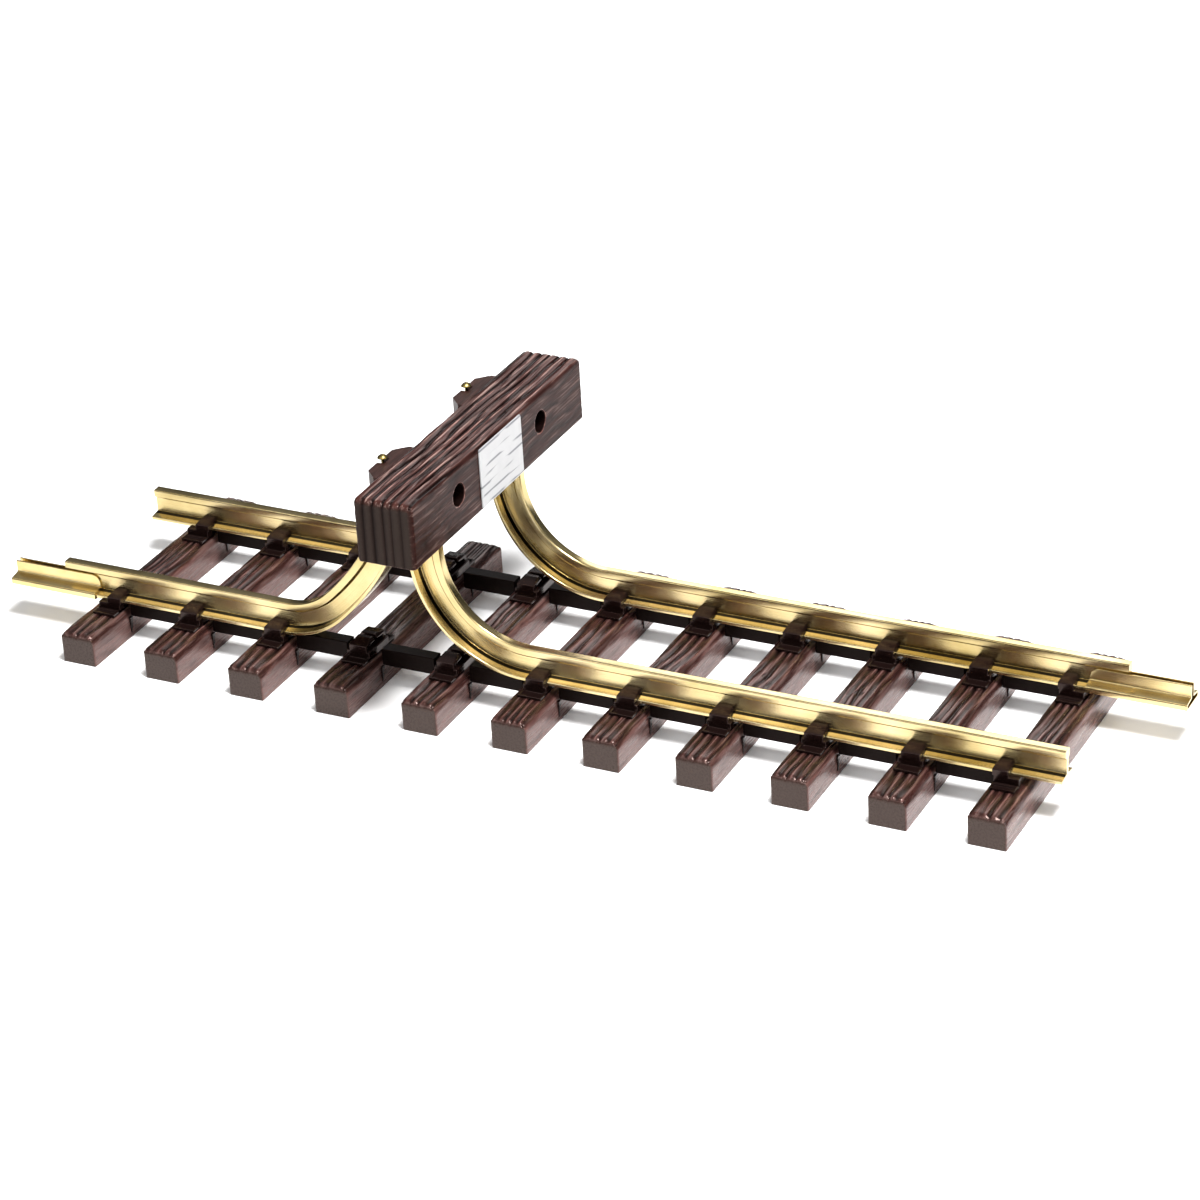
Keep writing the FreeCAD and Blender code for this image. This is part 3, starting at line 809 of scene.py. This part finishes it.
def sleeper_depth(number):
    """The depth_at function of one sleeper, with a grain of its own."""
    seed = 17.0 * number
    knot = KNOTS.get(number)
    low, high = limits("sleeper_%02d" % number)
    half_length = (high.y - low.y) / 2.0

    def depth_at(kind, a, b):
        if kind == "top":
            ridge = ridge_grain(a, b, SLEEPER_RIDGES, seed)
            fine = ridge_grain(a, b, SLEEPER_FINE_RIDGES, seed + 3.0)
            near_end = max(0.0, 1.0 - (half_length - abs(b)) / WORN_END)
            groove = SLEEPER_GROOVE + SLEEPER_END_GROOVE * near_end
            depth = groove * ridge ** 1.6 + SLEEPER_FINE_GROOVE * fine
            dark = 1.1 * ridge ** 0.9 + 0.30 * fine
            if knot is not None:
                off = abs(math.hypot(a - knot[0], b - knot[1]) - KNOT_RADIUS)
                ring = max(0.0, 1.0 - off / KNOT_LINE)
                depth += KNOT_DEPTH * ring
                dark += 0.8 * ring
            return depth, dark
        if kind == "side":
            # The -0.10 shifts the sides towards the light crest colour: a painted reflection of
            # the floor, over a wave that differs at random.
            wave = 0.5 + 0.5 * rough(a * 0.6, b * 0.12, seed + 5.0)
            return SLEEPER_SIDE_WAVE * wave, 0.30 * wave - 0.10
        return SLEEPER_END_DEPTH, 0.15

    return depth_at


def add_rib(vertices, faces, x, out, y, top):
    """Adds a wedge to a sleeper's side: wide and proud at the top, narrow at the bottom."""
    first = len(vertices)
    bottom_end = (RIB_BOTTOM_Z, RIB_FOOT_WIDTH, RIB_FOOT_PROUD)
    top_end = (top, RIB_TOP_WIDTH, RIB_PROUD)
    for z, width, proud in (bottom_end, top_end):
        half = width / 2.0
        for side, reach in ((-half, -RIB_ROOT), (half, -RIB_ROOT), (half, proud), (-half, proud)):
            vertices.append((x + out * reach, y + side, z))
    order = [(3, 2, 1, 0), (4, 5, 6, 7), (0, 1, 5, 4), (1, 2, 6, 5), (2, 3, 7, 6), (3, 0, 4, 7)]
    for face in order:
        turned = face if out < 0.0 else tuple(reversed(face))
        faces.append(tuple(first + index for index in turned))


def sleeper(number):
    """One sleeper with grained skin and its four ribs as tapered wedges."""
    node = "sleeper_%02d" % number
    low, high = limits(node)
    ribbed_back = number > 1
    ribbed_front = number < SLEEPER_COUNT
    body_low = low + Vector((RIB_PROUD * ribbed_back, 0.0, 0.0))
    body_high = high - Vector((RIB_PROUD * ribbed_front, 0.0, 0.0))
    piece = grained_block(node + "_grained", body_low, body_high, SLEEPER_GRID,
                          SLEEPER_ROUNDINGS, sleeper_depth(number))
    vertices = []
    faces = []
    top = body_high.z - SLEEPER_ROUNDINGS.front_top
    for x, out, ribbed in ((body_low.x, -1.0, ribbed_back), (body_high.x, 1.0, ribbed_front)):
        for y in (-RIB_Y, RIB_Y):
            if ribbed:
                add_rib(vertices, faces, x, out, y, top)
    ribs = mesh_object(node + "_ribs", vertices, faces, RIB_SMOOTH_BELOW)
    # Painted shade: the ribs take the darkest groove tone all over.
    set_grain(ribs, [1.0] * len(vertices))
    join(piece, ribs)
    dress(piece, SLEEPER_PLASTIC)
    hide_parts(node)
    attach(piece, "root")


def beam_depth(kind, a, b):
    """The depth_at function of the beam: broad grooves, narrower ones between, and fibres."""
    if kind == "top":
        ridge = ridge_grain(a, b, BEAM_RIDGES, 3.0)
        second = ridge_grain(a, b, BEAM_SECOND_RIDGES, 41.0)
        where = 0.5 + 0.7 * rough(a * 0.12, b * 0.05, 77.0)
        fine = ridge_grain(a, b, BEAM_FINE_RIDGES, 5.0)
        depth = (BEAM_GROOVE * ridge ** 2.2 + BEAM_SECOND_GROOVE * second ** 1.4 * where
                 + BEAM_FINE_GROOVE * fine)
        return depth, 1.1 * ridge ** 1.3 + 0.75 * second * where + 0.30 * fine + 0.03
    if kind == "side":
        ridge = ridge_grain(a, b, BEAM_SIDE_RIDGES, 55.0)
        fine = 0.5 + 0.5 * rough(a * 1.5, b * 0.15, 15.0)
        depth = BEAM_SIDE_GROOVE * ridge + BEAM_SIDE_WAVE * fine
        return depth, 0.30 + 0.28 * ridge + 0.24 * fine
    ridge = ridge_grain(a, b * 0.15, BEAM_END_RIDGES, 3.0)
    return BEAM_END_GROOVE * ridge, 0.30 + 0.55 * ridge


def beam():
    """The grained beam with its two counterbored holes, with painted shade inside."""
    low, high = limits("beam")
    piece = grained_block("beam_grained", low, high, BEAM_GRID, BEAM_ROUNDINGS, beam_depth)
    seat = high.x - COUNTERBORE_DEPTH
    rim = COUNTERBORE_RIM
    past = CUTTER_OVERRUN_FRONT
    profile = [
        (low.x - CUTTER_OVERRUN_BACK, SCREW_RADIUS),
        (seat, SCREW_RADIUS),
        (seat, COUNTERBORE_RADIUS),
        (high.x - rim, COUNTERBORE_RADIUS),
        (high.x + past, COUNTERBORE_RADIUS + rim + past),
    ]
    centres = []
    for side in ("near", "far"):
        screw_low, screw_high = limits("screw_" + side)
        cutter = lathe("cutter", profile, CUTTER_SEGMENTS)
        centre = (screw_low + screw_high) / 2.0
        centres.append(centre)
        cutter.data.transform(Matrix.Translation(Vector((0.0, centre.y, centre.z)) * MM))
        cut(piece, cutter)
    # Painted shade: the points on the holes' walls take the darkest groove tone.
    shade = piece.data.attributes["grain"].data
    hole_reach = COUNTERBORE_RADIUS + HOLE_MARGIN
    hole_front = high.x - 0.5 * COUNTERBORE_RIM
    for vertex, value in zip(piece.data.vertices, shade):
        place = vertex.co / MM
        for centre in centres:
            off = math.hypot(place.y - centre.y, place.z - centre.z)
            if off < hole_reach and place.x < hole_front:
                value.value = 1.0
    dress(piece, BEAM_PLASTIC)
    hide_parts("beam")
    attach(piece, "root")


def label():
    """The plate on the beam, with round corners and a bevel at its front."""
    low, high = limits("label")
    corners = [
        (low.y, low.z, LABEL_CORNER), (high.y, low.z, LABEL_CORNER),
        (high.y, high.z, LABEL_CORNER), (low.y, high.z, LABEL_CORNER),
    ]
    outline = rounded_outline(corners, 6)
    rings = [(low.x, 0.0), (high.x - LABEL_BEVEL, 0.0), (high.x, LABEL_BEVEL)]
    centre = (low + high) / 2.0
    vertices = []
    for x, shrink in rings:
        for y, z in outline:
            vertices.append((x, y - math.copysign(shrink, y - centre.y),
                             z - math.copysign(shrink, z - centre.z)))
    piece = mesh_object("label_plate", vertices, tube_faces(len(rings), len(outline)))
    dress(piece, LABEL_PRINT)
    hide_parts("label")
    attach(piece, "root")


def joiner_outline(flange_top):
    """The folded sheet's section as closed (y, z) points, open at the top for the web.

    Its corners are (y, z, rounding), outside first and then inside.
    """
    sheet = JOINER_SHEET
    foot = FOOT_WIDTH / 2.0 + FIT
    web = WEB_THICKNESS / 2.0 + FIT
    edge_z = FOOT_EDGE + FIT
    slope_z = FOOT_EDGE + FOOT_SLOPE_RISE + FIT
    half = [
        (foot + sheet, -sheet, 0.45),
        (foot + sheet, edge_z + sheet, 0.7),
        (web + sheet, slope_z + sheet, 0.5),
        (web + sheet, flange_top, 0.2),
        (web, flange_top, 0.15),
        (web, slope_z, 0.3),
        (foot, edge_z, 0.2),
        (foot, 0.0, 0.1),
    ]
    other = [(-y, z, radius) for y, z, radius in reversed(half)]
    return [tuple(p) for p in rounded_outline(half + other, 3)]


def joiner(node, outward):
    """A folded rail joiner.

    outward is +1 or -1 for the x of the end that waits for the next rail. At the other
    end the flanges' corners are cut round.
    """
    low, high = limits(node)
    middle_y = (low.y + high.y) / 2.0
    base_z = low.z + JOINER_SHEET
    flange = high.z - base_z
    inner_x = low.x if outward > 0.0 else high.x
    length = high.x - low.x
    rest = length - JOINER_CORNER
    runs = [JOINER_CORNER * (1.0 - math.cos(math.radians(turn)))
            for turn in range(0, 91, JOINER_CORNER_STEP)]
    runs += [JOINER_CORNER + rest * station / JOINER_STATIONS
             for station in range(1, JOINER_STATIONS + 1)]
    vertices = []
    for run in runs:
        drop = 0.0
        if run < JOINER_CORNER:
            off = JOINER_CORNER - run
            drop = JOINER_CORNER - math.sqrt(max(0.0, JOINER_CORNER ** 2 - off ** 2))
        outline = joiner_outline(flange - drop)
        x = inner_x + outward * run
        vertices += [(x, middle_y + y, base_z + z) for y, z in outline]
    faces = tube_faces(len(runs), len(outline))
    if outward < 0.0:
        faces = [tuple(reversed(face)) for face in faces]
    piece = mesh_object(node + "_folded", vertices, faces)
    dress(piece, JOINER_BRASS)
    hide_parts(node)
    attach(piece, "root")


def keep_cad():
    """The CAD nodes that stay, with rounded edges and finished surfaces."""
    for side in ("near", "far"):
        dress(soften("chairs_" + side, CHAIR_EDGE), CHAIR_PLASTIC)
        dress(soften("stringer_" + side, STRINGER_EDGE), STRINGER_PLASTIC)
        dress(soften("clamp_" + side, CLAMP_EDGE, segments=3), CLAMP_PLASTIC)
        dress(soften("screw_" + side, SCREW_EDGE), SCREW_BRASS)
        dress(soften("pin_" + side, PIN_EDGE, angle=40.0), PIN_BRASS)


# ---------------------------------------------------------------- studio

def area_light(name, place, size, power):
    """A square soft light turned to the object. Lengths in metres, power in watts."""
    data = bpy.data.lights.new(name, "AREA")
    data.size = size
    data.energy = power
    lamp = bpy.data.objects.new(name, data)
    lamp.location = place
    direction = Vector(LIGHT_TARGET) - Vector(place)
    lamp.rotation_mode = "QUATERNION"
    lamp.rotation_quaternion = direction.to_track_quat("-Z", "Y")
    bpy.context.scene.collection.objects.link(lamp)


def studio_floor():
    """A wide white floor that takes the shadow."""
    half = FLOOR_HALF / MM
    corners = [(-half, -half, 0.0), (half, -half, 0.0), (half, half, 0.0), (-half, half, 0.0)]
    floor = mesh_object("studio_floor", corners, [(0, 1, 2, 3)])
    dress(floor, floor_paint())


def studio_sky():
    """A grey world: dark towards the horizon, bright overhead."""
    world = bpy.data.worlds.new("studio_world")
    world.use_nodes = True
    tree = world.node_tree
    direction = tree.nodes.new("ShaderNodeTexCoord").outputs["Generated"]
    split = tree.nodes.new("ShaderNodeSeparateXYZ")
    tree.links.new(direction, split.inputs["Vector"])
    shades = tree.nodes.new("ShaderNodeValToRGB")
    for element, (place, grey) in zip(shades.color_ramp.elements, SKY_RAMP):
        element.position = place
        element.color = (grey, grey, grey, 1.0)
    tree.links.new(split.outputs["Z"], shades.inputs["Fac"])
    background = tree.nodes["Background"]
    tree.links.new(shades.outputs["Color"], background.inputs["Color"])
    background.inputs["Strength"].default_value = SKY_STRENGTH
    bpy.context.scene.world = world


def camera():
    """The photograph's camera, from its place, its right and its down direction."""
    right = Vector(CAMERA_RIGHT).normalized()
    up = -Vector(CAMERA_DOWN).normalized()
    back = right.cross(up).normalized()
    up = back.cross(right)
    data = bpy.data.cameras.new("camera")
    data.sensor_width = SENSOR_WIDTH
    data.lens = CAMERA_LENS
    data.clip_start = CLIP_START
    data.clip_end = CLIP_END
    holder = bpy.data.objects.new("camera", data)
    turn = Matrix((right, up, back)).transposed().to_4x4()
    holder.matrix_world = Matrix.Translation(Vector(CAMERA_PLACE)) @ turn
    bpy.context.scene.collection.objects.link(holder)
    bpy.context.scene.camera = holder


def main():
    for number in range(1, SLEEPER_COUNT + 1):
        sleeper(number)
    beam()
    label()
    for side in ("near", "far"):
        rail("rail_front_" + side, FRONT_BENDS, True)
        rail("rail_rear_" + side, REAR_BENDS, False)
    joiner("joiner_front_far", 1.0)
    joiner("joiner_rear_near", -1.0)
    keep_cad()
    studio_floor()
    studio_sky()
    for name, place, size, power in LIGHTS:
        area_light(name, place, size, power)
    camera()
    bpy.context.scene.view_settings.view_transform = "Standard"


main()
